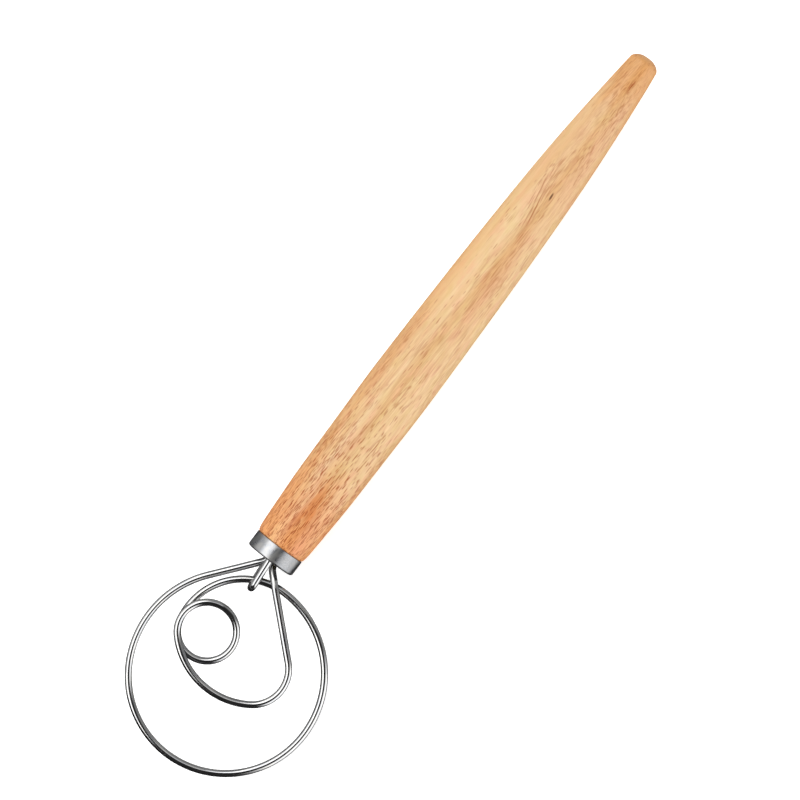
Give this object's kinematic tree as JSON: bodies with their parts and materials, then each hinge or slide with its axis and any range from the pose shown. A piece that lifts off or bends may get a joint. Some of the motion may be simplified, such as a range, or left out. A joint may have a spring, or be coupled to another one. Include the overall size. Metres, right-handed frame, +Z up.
{
  "type": "dough whisk",
  "caption": "Flat dough whisk: nested loops of bent steel wire in a turned wooden handle with a thin steel ferrule.",
  "frame": {"origin": "on the table under the middle of the whisk's bounding box, with the whisk lying as it comes to rest", "axes": "+X along the whisk from the wire loops to the handle's butt; +Z up, away from the table; +Y to the side on which the small ring lies"},
  "size_m": [0.3434, 0.0808, 0.0273],
  "materials": {
    "wood": "satin",
    "ferrule_steel": "satin",
    "wire_steel": "polished",
    "resin": "satin"
  },
  "bodies": {
    "root": {"handle": "wood", "ferrule": "ferrule_steel", "whisk_wire": "wire_steel", "retaining_hook": "wire_steel", "resin_plug": "resin"}
  },
  "joints": []
}
